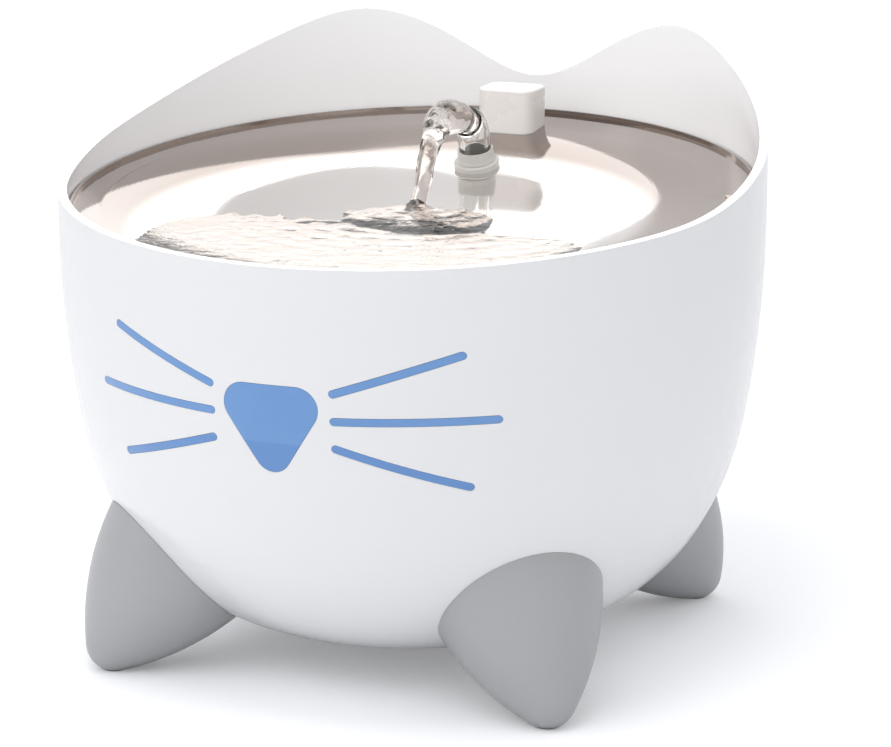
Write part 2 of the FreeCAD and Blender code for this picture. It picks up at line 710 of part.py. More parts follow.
spout_hole = at_spout(cylinder("spout_hole", S.dish_hole_radius, 30.0, z=-15.0))
return_holes = []
return_hole_circle = pan_radius - S.return_hole_inset
for step in range(-4, 5):
    angle = math.radians(step * S.return_hole_pitch.value)
    return_holes.append(cylinder(
        f"return_hole_{step + 4}", S.return_hole_radius, FAR / 2,
        return_hole_circle * math.sin(angle), -return_hole_circle * math.cos(angle), dish_below))
knob_holes = []
knob_back = pan_radius - S.knob_inset
knob_screw_back = knob_back + S.knob_screw_offset
for side in (-1, 1):
    knob_holes.append(cylinder(f"knob_hole_{side + 1}", S.screw_radius + 0.2, FAR / 2,
                               side * S.knob_screw_pitch / 2, knob_screw_back, dish_below))
drinking_dish = keep(cut("drinking_dish_cut", cut("dish_sheet_cut", dish_block, dish_hollow),
                         fuse("dish_holes", spout_hole, *return_holes, *knob_holes)),
                     "drinking_dish")
gasket_outer = dish_radius - 0.6
keep(common("dish_gasket_cut", shell("gasket_shell", gasket_outer, gasket_outer - S.gasket_width,
                                     dish_below, FAR / 2),
            tilted_slab("gasket_slab", S.flange_depth + S.dish_sheet, ledge_top)), "dish_gasket")

# Spout: a clear bent tube whose stem turns in a soft grommet, with a collar at its foot.
stem_inner = S.stem_radius - S.spout_wall
grommet_inner = S.stem_radius + S.spout_fit
grommet_block = at_spout(turned("spout_grommet_body", [
    (grommet_inner, -S.grommet_foot - S.dish_sheet), (S.grommet_radius - 0.6,
                                                       -S.grommet_foot - S.dish_sheet),
    (S.grommet_radius, -S.grommet_foot - S.dish_sheet + 0.6), (S.grommet_radius, 0.0),
    (S.grommet_radius, S.grommet_flange * 0.75, 1.4),
    (S.grommet_radius - 1.3, S.grommet_flange), (grommet_inner, S.grommet_flange)]))
doc.recompute()
keep(from_shape("spout_grommet_shape", grommet_block.Shape.cut(drinking_dish.Shape)),
     "spout_grommet")
collar_bottom = S.grommet_flange + 0.15
keep(at_spout(turned("spout_collar_body", [
    (S.tube_radius + 0.02, collar_bottom), (S.collar_radius + 0.5, collar_bottom),
    (S.collar_radius, collar_bottom + 1.2), (S.collar_radius - 0.4, collar_bottom + S.collar_height),
    (S.tube_radius + 0.02, collar_bottom + S.collar_height)])), "spout_collar")


def bent_tube(radius_start, radius_end, below, above):
    """The spout's bent tube as a solid rod of the given radii, before its bore is cut."""
    bend = S.tube_bend_radius.value
    angle = math.radians(S.tube_bend_angle.value)
    straight = above
    start = Vector(0, 0, below)
    knee = Vector(0, 0, straight)
    middle = Vector(0, -bend * (1 - math.cos(angle / 2)), straight + bend * math.sin(angle / 2))
    end = Vector(0, -bend * (1 - math.cos(angle)), straight + bend * math.sin(angle))
    forward = Vector(0, -math.sin(angle), math.cos(angle))
    rod = Part.makeCylinder(radius_start, straight - below, start, Vector(0, 0, 1))
    path = Part.Wire([Part.Arc(knee, middle, end).toShape()])
    ring = Part.Wire([Part.makeCircle(radius_start, knee, Vector(0, 0, 1))])
    elbow = path.makePipeShell([ring], True, False)
    mouth = Part.makeCone(radius_start, radius_end, S.mouth_length.value, end, forward)
    return rod.fuse([elbow, mouth]), end, forward


tube_bottom = S.grommet_flange.value + 0.15
outer_rod, mouth_end, mouth_way = bent_tube(S.tube_radius.value, S.tube_radius.value - 0.3,
                                            tube_bottom, S.tube_straight.value)
stem_rod = Part.makeCylinder(S.stem_radius.value, tube_bottom + 0.5 + S.stem_length.value,
                             Vector(0, 0, -S.stem_length.value))
bore_rod, _, _ = bent_tube(stem_inner.value, stem_inner.value + 0.3,
                           -S.stem_length.value - 1, S.tube_straight.value)
bore_exit = Part.makeCylinder(stem_inner.value + 0.3, 4.0,
                              mouth_end + mouth_way * (S.mouth_length.value - 0.01), mouth_way)
spout_shape = outer_rod.fuse(stem_rod).cut(bore_rod.fuse(bore_exit)).removeSplitter()
spout_shape.Placement = SPOUT_PLACE
keep(from_shape("spout_elbow_shape", spout_shape), "spout_elbow")

# Outlet hose: soft tube from the pump's upright outlet to the leaning stem.
hose_inner = S.stem_radius.value + 0.06
hose_outer = S.stem_radius.value + S.hose_wall.value
hose_top = SPOUT_PLACE.multVec(Vector(0, 0, -S.grommet_foot.value - S.dish_sheet.value - 0.6))
stem_end = SPOUT_PLACE.multVec(Vector(0, 0, -S.stem_length.value - 1.5))
spout_way = SPOUT_PLACE.Rotation.multVec(Vector(0, 0, 1))
hose_corner = SPOUT_PLACE.multVec(Vector(0, 0, -S.hose_drop.value))
outlet_y = hose_corner.y
HOSE_FOOT = S.box_top_height.value + S.box_lid_thickness.value + 3.0
lean_angle = math.acos(spout_way.z)
hose_bend = 0.92 * (hose_corner - stem_end).Length / math.tan(lean_angle / 2)
bend_start = hose_corner - Vector(0, 0, 1) * hose_bend * math.tan(lean_angle / 2)
bend_end = hose_corner + spout_way * hose_bend * math.tan(lean_angle / 2)
bend_centre = bend_start + Vector(0, -hose_bend, 0)
bend_middle = bend_centre + Vector(0, math.cos(lean_angle / 2),
                                   math.sin(lean_angle / 2)) * hose_bend


def hose_rod(radius, past):
    """The hose's path as a solid rod, run past both ends by a little."""
    lower = Part.makeCylinder(radius, bend_start.z - HOSE_FOOT + past,
                              Vector(0, outlet_y, HOSE_FOOT - past))
    upper = Part.makeCylinder(radius, (hose_top - bend_end).Length + past, bend_end, spout_way)
    ring = Part.Wire([Part.makeCircle(radius, bend_start, Vector(0, 0, 1))])
    path = Part.Wire([Part.Arc(bend_start, bend_middle, bend_end).toShape()])
    return lower.fuse([path.makePipeShell([ring], True, False), upper])


keep(from_shape("outlet_hose_shape", hose_rod(hose_outer, 0.0).cut(
    hose_rod(hose_inner, 1.0)).removeSplitter()), "outlet_hose")

# Lifting knob: a hollow block on the dish, fixed from below with two screws through a gasket.
knob_body = doc.addObject("PartDesign::Body", "knob_body")
knob_sketch = sketch_on(knob_body, "XY_Plane", "knob_outline")
half_width = S.knob_width / 2
half_depth = S.knob_depth / 2
corner = S.knob_corner
draw(knob_sketch, [
    (corner - half_width, -half_depth), (half_width - corner, -half_depth, corner),
    (half_width, corner - half_depth), (half_width, half_depth - corner, corner),
    (half_width - corner, half_depth), (corner - half_width, half_depth, corner),
    (-half_width, half_depth - corner), (-half_width, corner - half_depth, corner)])
knob_pad = knob_body.newObject("PartDesign::Pad", "knob_pad")
knob_pad.Profile = knob_sketch
bind(knob_pad, Length=40.0)
knob_sketch.Visibility = False
doc.recompute()
top_edges = []
for index, edge in enumerate(knob_pad.Shape.Edges, start=1):
    if all(abs(vertex.Z - 40.0) < 1e-6 for vertex in edge.Vertexes):
        top_edges.append(f"Edge{index}")
knob_round = knob_body.newObject("PartDesign::Fillet", "knob_round")
knob_round.Base = (knob_pad, top_edges)
bind(knob_round, Radius=S.knob_edge)
knob_body.Tip = knob_round
place(knob_body, 0.0, knob_back, S.knob_top_height - 40.0)
doc.recompute()
screw_posts = []
for side in (-1, 1):
    screw_posts.append(side * S.knob_screw_pitch.value / 2)


def above_dish(lift):
    """All that lies over the dish's flange and rise, lifted by a little."""
    hollow = dish_hollow.Shape.copy()
    hollow.translate(Vector(0, 0, lift))
    return hollow


gasket_lift = S.knob_gasket_thickness.value
knob_solid = knob_body.Shape.common(above_dish(gasket_lift))
knob_bores = [Part.makeCylinder(S.screw_radius.value + 0.05, 12.0,
                                Vector(post, knob_screw_back.value,
                                       S.knob_top_height.value - 18.0))
              for post in screw_posts]
keep(from_shape("lift_knob_shape", knob_solid.cut(knob_bores)), "lift_knob")
gasket_core = knob_body.Shape.common(above_dish(0.0)).cut(above_dish(gasket_lift))
keep(from_shape("knob_gasket_shape", gasket_core.cut(
    [Part.makeCylinder(S.screw_radius.value + 0.2, FAR / 2,
                       Vector(post, knob_screw_back.value, dish_below.value))
     for post in screw_posts])), "knob_gasket")
knob_screw_head = rim_height(knob_screw_back) - S.flange_depth - S.dish_sheet - 0.6
knob_screws = []
for index, post in enumerate(screw_posts):
    knob_screws.append(turned(f"knob_screw_{index}", [
        (0, -S.screw_head_height), (S.screw_head_radius, -S.screw_head_height),
        (S.screw_head_radius, 0), (S.screw_radius, 0),
        (S.screw_radius, 8.0), (0, 9.0)], post, knob_screw_back, knob_screw_head))
keep(group("knob_screws_group", *knob_screws), "knob_screws")

# Pump box: an open tray on four suction cups. Rails on its front guide the filter.
outlet_back = as_size(outlet_y)
box_depth = outlet_back + S.box_behind_outlet - S.box_front
box_height = S.box_top_height - S.box_floor_height
box_outer = block("box_outer", 2 * S.box_half_width, box_depth, box_height,
                  -S.box_half_width, S.box_front, S.box_floor_height)
box_inner = block("box_inner", 2 * (S.box_half_width - S.box_wall), box_depth - 2 * S.box_wall,
                  box_height, -(S.box_half_width - S.box_wall), S.box_front + S.box_wall,
                  S.box_floor_height + S.box_wall)
window_half = S.box_half_width - 6.0
box_window = block("box_window", 2 * window_half, 10.0, box_height - 14.0, -window_half,
                   S.box_front - 5.0, S.box_floor_height + 7.0)
rail_depth = S.filter_depth + 2 * S.filter_gap
rails = []
for side in (-1, 1):
    left = -S.box_half_width if side < 0 else S.box_half_width - S.box_wall
    rails.append(block(f"rail_{side + 1}", S.box_wall, rail_depth + S.box_wall, box_height, left,
                       S.box_front - rail_depth - S.box_wall, S.box_floor_height))
    lip_left = -S.box_half_width if side < 0 else S.box_half_width - S.box_wall - 2.2
    rails.append(block(f"rail_lip_{side + 1}", S.box_wall + 2.2, S.box_wall, box_height, lip_left,
                       S.box_front - rail_depth - S.box_wall, S.box_floor_height))
rail_foot = block("rail_foot", 2 * S.box_half_width, rail_depth + S.box_wall, S.box_wall,
                  -S.box_half_width, S.box_front - rail_depth - S.box_wall, S.box_floor_height)
cup_spots = [(-S.cup_side, S.cup_row_front), (S.cup_side, S.cup_row_front),
             (-S.cup_side, S.cup_row_back), (S.cup_side, S.cup_row_back)]
cup_stems = []
cups = []
bowl_floor = S.base_height + S.bowl_wall * cosine(S.base_slope)
cup_height = S.box_floor_height - bowl_floor
for index, (cup_x, cup_y) in enumerate(cup_spots):
    cup_stems.append(cylinder(f"cup_hole_{index}", 2.1, S.box_wall * 3, cup_x, cup_y,
                              S.box_floor_height - S.box_wall))
    cups.append(turned(f"suction_cup_{index}", [
        (0, cup_height * 0.45), (S.cup_radius * 0.75, 0.15), (S.cup_radius, 0.15),
        (S.cup_radius * 0.45, cup_height * 0.6), (3.4, cup_height * 0.62),
        (3.4, cup_height - 0.1), (2.0, cup_height - 0.1), (2.0, cup_height + S.box_wall + 0.1),
        (3.0, cup_height + S.box_wall + 0.1), (2.0, cup_height + S.box_wall + 1.6),
        (0, cup_height + S.box_wall + 1.6)], cup_x, cup_y, bowl_floor))
keep(cut("pump_box_cut", fuse("box_fused", cut("box_tray", box_outer,
                                               fuse("box_hollows", box_inner, box_window)),
                              rail_foot, *rails), fuse("cup_holes", *cup_stems)), "pump_box")
keep(group("suction_cups_group", *cups), "suction_cups")
lid_plate = block("lid_plate", 2 * S.box_half_width, box_depth, S.box_lid_thickness,
                  -S.box_half_width, S.box_front, S.box_top_height)
lid_hole = cylinder("lid_hole", S.outlet_radius + 0.4, 20.0, 0.0, outlet_back,
                    S.box_top_height - 5.0)
lid_rim = cut("lid_rim", block(
    "lid_rim_outer", 2 * (S.box_half_width - S.box_wall - 0.2), box_depth - 2 * S.box_wall - 0.4,
    3.0, -(S.box_half_width - S.box_wall - 0.2), S.box_front + S.box_wall + 0.2,
    S.box_top_height - 2.0), block(
    "lid_rim_inner", 2 * (S.box_half_width - 2 * S.box_wall), box_depth - 4 * S.box_wall, 3.0,
    -(S.box_half_width - 2 * S.box_wall), S.box_front + 2 * S.box_wall, S.box_top_height - 3.0))
keep(cut("box_lid_cut", fuse("lid_fused", lid_plate, lid_rim), lid_hole), "pump_box_lid")

# Filter: a frame with two pads, which slides up out of the rails.
filter_half = S.box_half_width - S.box_wall - S.filter_gap
filter_low = S.box_floor_height + S.box_wall + 0.2
filter_height = box_height - S.box_wall + S.filter_rise
filter_front = S.box_front - S.filter_gap - S.filter_depth
frame_block = block("frame_block", 2 * filter_half, S.filter_depth, filter_height, -filter_half,
                    filter_front, filter_low)
pad_pocket = filter_half - S.filter_border
frame_hollow = block("frame_hollow", 2 * pad_pocket, 2 * S.pad_sheet + 0.4,
                     filter_height - S.filter_border - 6.0, -pad_pocket,
                     filter_front + (S.filter_depth - 2 * S.pad_sheet - 0.4) / 2,
                     filter_low + S.filter_border)
frame_slots = []
slot_count = 7
slot_pitch = 2 * (pad_pocket - 1.0) / slot_count
for index in range(slot_count):
    frame_slots.append(block(
        f"frame_slot_{index}", slot_pitch - 1.6, S.filter_depth + 4.0,
        filter_height - S.filter_border - 9.0, slot_pitch * index + 0.8 - (pad_pocket - 1.0),
        filter_front - 2.0, filter_low + S.filter_border + 1.5))
frame_tab = block("frame_tab", 14.0, 2.0, 8.0, -7.0, filter_front + 1.0,
                  filter_low + filter_height)
keep(cut("filter_frame_cut", fuse("frame_and_tab", frame_block, frame_tab),
         fuse("frame_openings", frame_hollow, *frame_slots)), "filter_frame")
for pad_name, pad_row in (("foam_pad", 0), ("carbon_pad", 1)):
    keep(block(pad_name + "_block", 2 * (pad_pocket - 0.2), S.pad_sheet,
               filter_height - S.filter_border - 6.4, -(pad_pocket - 0.2),
               filter_front + (S.filter_depth - 2 * S.pad_sheet) / 2 + S.pad_sheet * pad_row,
               filter_low + S.filter_border + 0.2), pad_name)

# Pump: the impeller's axis lies front to back, and the outlet stands on its chamber.
PUMP_TURN = Rotation(Vector(1, 0, 0), -90)
motor_front = S.box_front + S.box_wall + 10.0
chamber_front = outlet_back - 6.0
chamber_back = outlet_back + S.outlet_radius + 0.2
pump_floor = S.box_floor_height + S.box_wall
pump_half = S.chamber_radius + 4.0


def along_pump(name, radius, start, end):
    """A round bar along the impeller's axis, from one distance behind the middle to another."""
    return cylinder(name, radius, end - start, 0.0, start, S.pump_axis_height, PUMP_TURN)


pump_block = fuse(
    "pump_block",
    block("pump_case", 2 * pump_half, chamber_back - motor_front,
          S.pump_axis_height + S.chamber_radius + 3.0 - pump_floor, -pump_half, motor_front,
          pump_floor),
    cylinder("pump_outlet", S.outlet_radius, S.outlet_top_height - S.pump_axis_height, 0.0,
             outlet_back, S.pump_axis_height))
rotor_front = motor_front + 4.0
stator_inner = S.rotor_radius + 1.4
stator_outer = S.rotor_radius + 7.0
pump_hollows = fuse(
    "pump_hollows",
    along_pump("chamber_hollow", S.chamber_radius, chamber_front, chamber_back + 1.0),
    along_pump("rotor_hollow", S.rotor_radius + 0.5, rotor_front, chamber_front + 1.0),
    cylinder("outlet_hollow", S.outlet_bore, FAR, 0.0, outlet_back, S.pump_axis_height),
    along_pump("shaft_seat", S.shaft_radius + 0.9, rotor_front - 2.0, rotor_front + 1.0),
    cut("stator_space", along_pump("stator_space_outer", stator_outer + 0.2,
                                   rotor_front + 1.0, chamber_front - 2.0),
        along_pump("stator_space_inner", stator_inner - 0.2, rotor_front + 1.0,
                   chamber_front - 2.0)))
cover_back = chamber_back + 2.0
cover_plate = block("cover_plate", 2 * pump_half, 2.0,
                    S.pump_axis_height + S.chamber_radius + 3.0 - pump_floor, -pump_half,
                    chamber_back, pump_floor)
cover_slots = []
for index in range(5):
    offset = (index - 2) * 3.4
    cover_slots.append(block(f"intake_slot_{index}", 2.0, 8.0, 9.0, offset - 1.0,
                             chamber_back - 3.0, S.pump_axis_height - 10.5))
cover_slots.append(along_pump("cover_shaft_seat", S.shaft_radius + 0.9, chamber_back - 1.0,
                              chamber_back + 1.2))
slider_low = S.pump_axis_height - 12.0
slider_rails = []
for low, lip_low in ((slider_low - 1.7, slider_low - 1.7),
                     (slider_low + 12.2, slider_low + 11.0)):
    slider_rails.append(block(f"slider_rail_{len(slider_rails)}", 24.0, 2.4, 1.5, -12.0,
                              cover_back, low))
    slider_rails.append(block(f"slider_lip_{len(slider_rails)}", 24.0, 1.0, 2.7, -12.0,
                              cover_back + 2.2, lip_low))
PUMP_SCREW_RADIUS = 1.1  # radius of the cover's small screws
pump_screws = []
pump_screw_holes = []
for x in (3.2 - pump_half, pump_half - 3.2):
    for z in (pump_floor + 3.2, S.pump_axis_height + S.chamber_radius - 0.2):
        index = len(pump_screws)
        pump_screw_holes.append(cylinder(f"pump_screw_hole_{index}", PUMP_SCREW_RADIUS + 0.05, 12.0,
                                         x, chamber_back - 8.0, z, PUMP_TURN))
        pump_screws.append(fuse(
            f"pump_screw_{index}",
            cylinder(f"pump_screw_shank_{index}", PUMP_SCREW_RADIUS, 9.0, x, cover_back - 9.0, z,
                     PUMP_TURN),
            cylinder(f"pump_screw_head_{index}", 2.0, 1.3, x, cover_back, z, PUMP_TURN)))
keep(group("pump_screws_group", *pump_screws), "pump_screws")
keep(cut("pump_cover_cut", fuse("cover_fused", cover_plate, *slider_rails),
         fuse("cover_openings", *cover_slots, *pump_screw_holes)), "pump_cover")
slider_plate = block("slider_plate", 22.0, 1.6, 12.0, -8.0, cover_back + 0.3, slider_low)
slider_slots = []
for index in range(5):
    offset = (index - 2) * 3.4
    slider_slots.append(block(f"slider_slot_{index}", 2.0, 8.0, 9.0, offset - 1.0, cover_back - 2.0,
                              S.pump_axis_height - 10.5))
keep(cut("flow_slider_cut", slider_plate, fuse("slider_openings", *slider_slots)), "flow_slider")
keep(cut("pump_housing_cut", pump_block, fuse("housing_openings", pump_hollows,
                                               *pump_screw_holes)), "pump_housing")
keep(along_pump("impeller_shaft_bar", S.shaft_radius, rotor_front - 1.4, chamber_back + 0.8),
     "impeller_shaft")
bush_bore = S.shaft_radius + 0.03
bush_outer = S.shaft_radius + 0.85
keep(group("shaft_bushes_group",
           cut("front_bush", along_pump("front_bush_outer", bush_outer, rotor_front - 1.9,
                                        rotor_front + 0.2),
               along_pump("front_bush_bore", bush_bore, rotor_front - 1.5, rotor_front + 1.0)),
           cut("rear_bush", along_pump("rear_bush_outer", bush_outer, chamber_back - 0.8,
                                       chamber_back + 1.1),
               along_pump("rear_bush_bore", bush_bore, chamber_back - 1.0, chamber_back + 0.9))),
     "shaft_bushes")
rotor_bore = S.shaft_radius + S.shaft_fit
keep(cut("rotor_magnet_cut", along_pump("rotor_bar", S.rotor_radius, rotor_front + 0.8,
                                        chamber_front - 0.6),
         along_pump("rotor_bore_bar", rotor_bore, rotor_front, chamber_front)), "rotor_magnet")
impeller_front = chamber_front - 0.4
hub = along_pump("impeller_hub", S.shaft_radius + 2.4, impeller_front, chamber_back - 1.6)
disc = along_pump("impeller_disc", S.impeller_radius, chamber_front + 0.6, chamber_front + 1.8)
blades = []
for index in range(int(S.blade_count.value)):
    angle = index * 360.0 / S.blade_count.value
    blade = block(f"blade_{index}", S.impeller_radius - 2.0, 1.2,
                  chamber_back - chamber_front - 3.6, 1.5, -0.6, 0.0)
    blade.Placement = Placement(
        Vector(0, chamber_front.value + 1.2, S.pump_axis_height.value),
        PUMP_TURN.multiply(Rotation(Vector(0, 0, 1), angle))).multiply(blade.Placement)
    blades.append(blade)
keep(cut("impeller_cut", fuse("impeller_fused", hub, disc, *blades),
         along_pump("impeller_bore", rotor_bore, impeller_front - 1.0, chamber_back)), "impeller")
stator_front = rotor_front + 1.2
stator_back = chamber_front - 2.2
keep(cut("stator_core_cut", along_pump("stator_core_bar", S.rotor_radius + 3.6, stator_front,
                                       stator_back),
         along_pump("stator_core_bore", stator_inner, stator_front - 1.0, stator_back + 1.0)),
     "stator_core")
keep(cut("stator_coil_cut", along_pump("stator_coil_bar", stator_outer, stator_front + 2.0,
                                       stator_back - 2.0),
         along_pump("stator_coil_bore", S.rotor_radius + 3.7, stator_front, stator_back)),
     "stator_coil")

doc.recompute()


def check(item):
    """Stop when an object failed, or when a part's shape is empty or broken."""
    if "Invalid" in item.State or "Error" in item.State:
        raise SystemExit(f"{item.Label} failed: {item.State}")


for item in doc.Objects:
    check(item)
for item in PARTS:
    shape = item.Shape
    if shape.isNull() or not shape.isValid() or not shape.Solids:
        raise SystemExit(f"{item.Label} has no valid solid")

os.makedirs("parts", exist_ok=True)
for item in PARTS:
    item.Shape.exportStep(os.path.join("parts", item.Label + ".step"))
print(len(PARTS), "parts written")
for item in PARTS:
    box = item.Shape.BoundBox
    print(f"{item.Label:24s} solids {len(item.Shape.Solids)} volume {item.Shape.Volume:10.1f}"
          f" x {box.XMin:7.1f} {box.XMax:7.1f} y {box.YMin:7.1f} {box.YMax:7.1f}"
          f" z {box.ZMin:7.1f} {box.ZMax:7.1f}")
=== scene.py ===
import math

import bpy
import numpy as np
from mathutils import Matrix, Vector


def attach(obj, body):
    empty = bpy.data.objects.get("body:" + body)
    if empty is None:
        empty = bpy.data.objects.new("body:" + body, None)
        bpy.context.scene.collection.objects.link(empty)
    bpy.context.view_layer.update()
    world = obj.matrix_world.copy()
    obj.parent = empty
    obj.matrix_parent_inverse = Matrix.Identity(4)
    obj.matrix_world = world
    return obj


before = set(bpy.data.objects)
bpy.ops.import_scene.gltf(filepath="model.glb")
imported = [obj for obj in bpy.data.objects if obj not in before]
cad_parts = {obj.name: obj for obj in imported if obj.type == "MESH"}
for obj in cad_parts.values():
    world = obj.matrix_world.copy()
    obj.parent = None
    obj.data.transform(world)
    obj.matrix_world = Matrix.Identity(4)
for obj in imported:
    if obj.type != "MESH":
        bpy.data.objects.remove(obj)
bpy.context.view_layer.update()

# Water bowl and ear ring: glossy white plastic, injection moulded.
# The ring drops over the bowl on a skirt, and its back wall rises in two peaks.
# The tool's fine texture and faint flow clouds show only in the gloss.
mix_a, mix_b, mix_result = 6, 7, 2


def new_nodes(tree, *kinds):
    """One new node of each kind, in order."""
    return [tree.nodes.new(kind) for kind in kinds]


def wire(tree, *runs):
    """Joins sockets. Each run is a node, its output, the next node, its input."""
    for source, output, target, entry in runs:
        tree.links.new(source.outputs[output], target.inputs[entry])


def moulded_skin():
    """Group for any moulded face: two close tones in soft clouds, a fine grain and a broken gloss."""
    group = bpy.data.node_groups.new("moulded_skin", "ShaderNodeTree")
    for name in ("Base Tone", "Second Tone"):
        group.interface.new_socket(name, in_out="INPUT", socket_type="NodeSocketColor")
    for name in ("Cloud Scale", "Grain Scale", "Grain Depth", "Gloss Low", "Gloss High"):
        group.interface.new_socket(name, in_out="INPUT", socket_type="NodeSocketFloat")
    for name, kind in (("Tone", "Color"), ("Roughness", "Float"), ("Normal", "Vector")):
        group.interface.new_socket(name, in_out="OUTPUT", socket_type="NodeSocket" + kind)
    given, result, spot = new_nodes(group, "NodeGroupInput", "NodeGroupOutput", "ShaderNodeTexCoord")
    clouds, grain = new_nodes(group, "ShaderNodeTexNoise", "ShaderNodeTexNoise")
    tone, gloss, bump = new_nodes(group, "ShaderNodeMix", "ShaderNodeMapRange", "ShaderNodeBump")
    tone.data_type = "RGBA"
    clouds.inputs["Detail"].default_value = 4.0
    grain.inputs["Detail"].default_value = 2.0
    bump.inputs["Strength"].default_value = 1.0
    gloss.inputs["From Min"].default_value = 0.3
    gloss.inputs["From Max"].default_value = 0.7
    wire(group,
         (spot, "Object", clouds, "Vector"),
         (spot, "Object", grain, "Vector"),
         (given, "Cloud Scale", clouds, "Scale"),
         (given, "Grain Scale", grain, "Scale"),
         (clouds, "Fac", tone, "Factor"),
         (given, "Base Tone", tone, mix_a),
         (given, "Second Tone", tone, mix_b),
         (clouds, "Fac", gloss, "Value"),
         (given, "Gloss Low", gloss, "To Min"),
         (given, "Gloss High", gloss, "To Max"),
         (grain, "Fac", bump, "Height"),
         (given, "Grain Depth", bump, "Distance"),
         (tone, mix_result, result, "Tone"),
         (gloss, "Result", result, "Roughness"),
         (bump, "Normal", result, "Normal"))
    return group


skin = moulded_skin()


def shader_of(material):
    return material.node_tree.nodes["Principled BSDF"]


def skin_of(material):
    return next(node for node in material.node_tree.nodes if node.type == "GROUP")


def moulded(name, tone, second, clouds, grain, depth, gloss):
    """A finish with its own two tones, cloud and grain scales, grain depth and range of gloss."""
    material = bpy.data.materials.new(name)
    material.use_nodes = True
    tree = material.node_tree
    group, = new_nodes(tree, "ShaderNodeGroup")
    group.node_tree = skin
    group.inputs["Base Tone"].default_value = (*tone, 1)
    group.inputs["Second Tone"].default_value = (*second, 1)
    group.inputs["Cloud Scale"].default_value = clouds
    group.inputs["Grain Scale"].default_value = grain
    group.inputs["Grain Depth"].default_value = depth
    group.inputs["Gloss Low"].default_value, group.inputs["Gloss High"].default_value = gloss
    wire(tree,
         (group, "Tone", shader_of(material), "Base Color"),
         (group, "Roughness", shader_of(material), "Roughness"),
         (group, "Normal", shader_of(material), "Normal"))
    return material


def coated(material, weight, roughness):
    """Adds a clear gloss over the finish."""
    shader_of(material).inputs["Coat Weight"].default_value = weight
    shader_of(material).inputs["Coat Roughness"].default_value = roughness


def wear(material, *node_names):
    """Puts a finish on nodes of the frame."""
    for node_name in node_names:
        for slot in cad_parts[node_name].material_slots:
            slot.material = material


shell_white = moulded("shell_white", (0.86, 0.86, 0.865), (0.84, 0.84, 0.85), 9, 1600, 0.000004, (0.16, 0.22))
coated(shell_white, 0.25, 0.08)
wear(shell_white, "reservoir_bowl", "ear_ring")

# Nose and whisker windows: blue plastic, welded into slots in the bowl's front wall.
# They show how much water is left, so the nose is a little darker below the water line.
bowl_water_line = 0.1046
window_blue = moulded("window_blue", (0.155, 0.335, 0.68), (0.125, 0.29, 0.61), 60, 1400, 0.000004, (0.10, 0.18))
window_tree = window_blue.node_tree
spot, parts, above, below, wet_blue = new_nodes(
    window_tree, "ShaderNodeTexCoord", "ShaderNodeSeparateXYZ", "ShaderNodeMapRange", "ShaderNodeMath",
    "ShaderNodeMix")
above.inputs["From Min"].default_value = bowl_water_line - 0.0004
above.inputs["From Max"].default_value = bowl_water_line + 0.0004
below.operation = "SUBTRACT"
below.inputs[0].default_value = 1.0
wet_blue.data_type = "RGBA"
wet_blue.blend_type = "MULTIPLY"
wet_blue.inputs[mix_b].default_value = (0.80, 0.86, 0.93, 1)
wire(window_tree,
     (spot, "Object", parts, "Vector"),
     (parts, "Z", above, "Value"),
     (above, "Result", below, 1),
     (below, "Value", wet_blue, "Factor"),
     (skin_of(window_blue), "Tone", wet_blue, mix_a),
     (wet_blue, mix_result, shader_of(window_blue), "Base Color"))
coated(window_blue, 0.6, 0.05)
wear(window_blue, "nose_window", "whisker_left_upper", "whisker_left_middle", "whisker_left_lower",
     "whisker_right_upper", "whisker_right_middle", "whisker_right_lower")

# Feet: four flared legs in satin grey plastic, screwed to the bowl, on dark rubber pads.
# The mould's fine texture leaves them duller than the bowl.
foot_grey = moulded("foot_grey", (0.425, 0.43, 0.44), (0.39, 0.395, 0.405), 14, 1200, 0.00001, (0.30, 0.38))
rubber_dark = moulded("rubber_dark", (0.030, 0.030, 0.032), (0.045, 0.045, 0.048), 90, 2200, 0.00003, (0.62, 0.78))
wear(foot_grey, "foot_front_left", "foot_front_right", "foot_rear_right", "foot_rear_left")
wear(rubber_dark, "foot_pads", "shaft_bushes")

# Screws and the impeller's shaft: turned steel, with fine lathe rings.
# The screws are driven in from below or from inside, out of sight.


def turned_metal(name, tone, second, gloss, ring_scale):
    """Metal with fine rings round its upright axis over the moulded group's clouds."""
    material = moulded(name, tone, second, 40, 900, 0.000003, gloss)
    tree = material.node_tree
    spot, rings, bump = new_nodes(tree, "ShaderNodeTexCoord", "ShaderNodeTexWave", "ShaderNodeBump")
    rings.wave_type = "RINGS"
    rings.rings_direction = "Z"
    rings.inputs["Scale"].default_value = ring_scale
    rings.inputs["Distortion"].default_value = 0.6
    bump.inputs["Distance"].default_value = 0.000004
    wire(tree,
         (spot, "Object", rings, "Vector"),
         (rings, "Fac", bump, "Height"),
         (skin_of(material), "Normal", bump, "Normal"),
         (bump, "Normal", shader_of(material), "Normal"))
    shader_of(material).inputs["Metallic"].default_value = 1.0
    return material


screw_steel = turned_metal("screw_steel", (0.56, 0.55, 0.53), (0.48, 0.47, 0.46), (0.24, 0.36), 900)
wear(screw_steel, "foot_screws", "knob_screws", "pump_screws", "impeller_shaft")

# Cord grommet, gaskets, hose and suction cups: milky silicone rubber, pressed or pulled into place.
# They are slightly see-through in life, which shows as a soft waxy sheen.
silicone = moulded("silicone", (0.70, 0.71, 0.70), (0.63, 0.64, 0.63), 60, 1500, 0.00001, (0.38, 0.50))
shader_of(silicone).inputs["Subsurface Weight"].default_value = 0.15
shader_of(silicone).inputs["Subsurface Radius"].default_value = (0.003, 0.003, 0.003)
wear(silicone, "cord_grommet", "dish_gasket", "outlet_hose", "knob_gasket", "suction_cups")

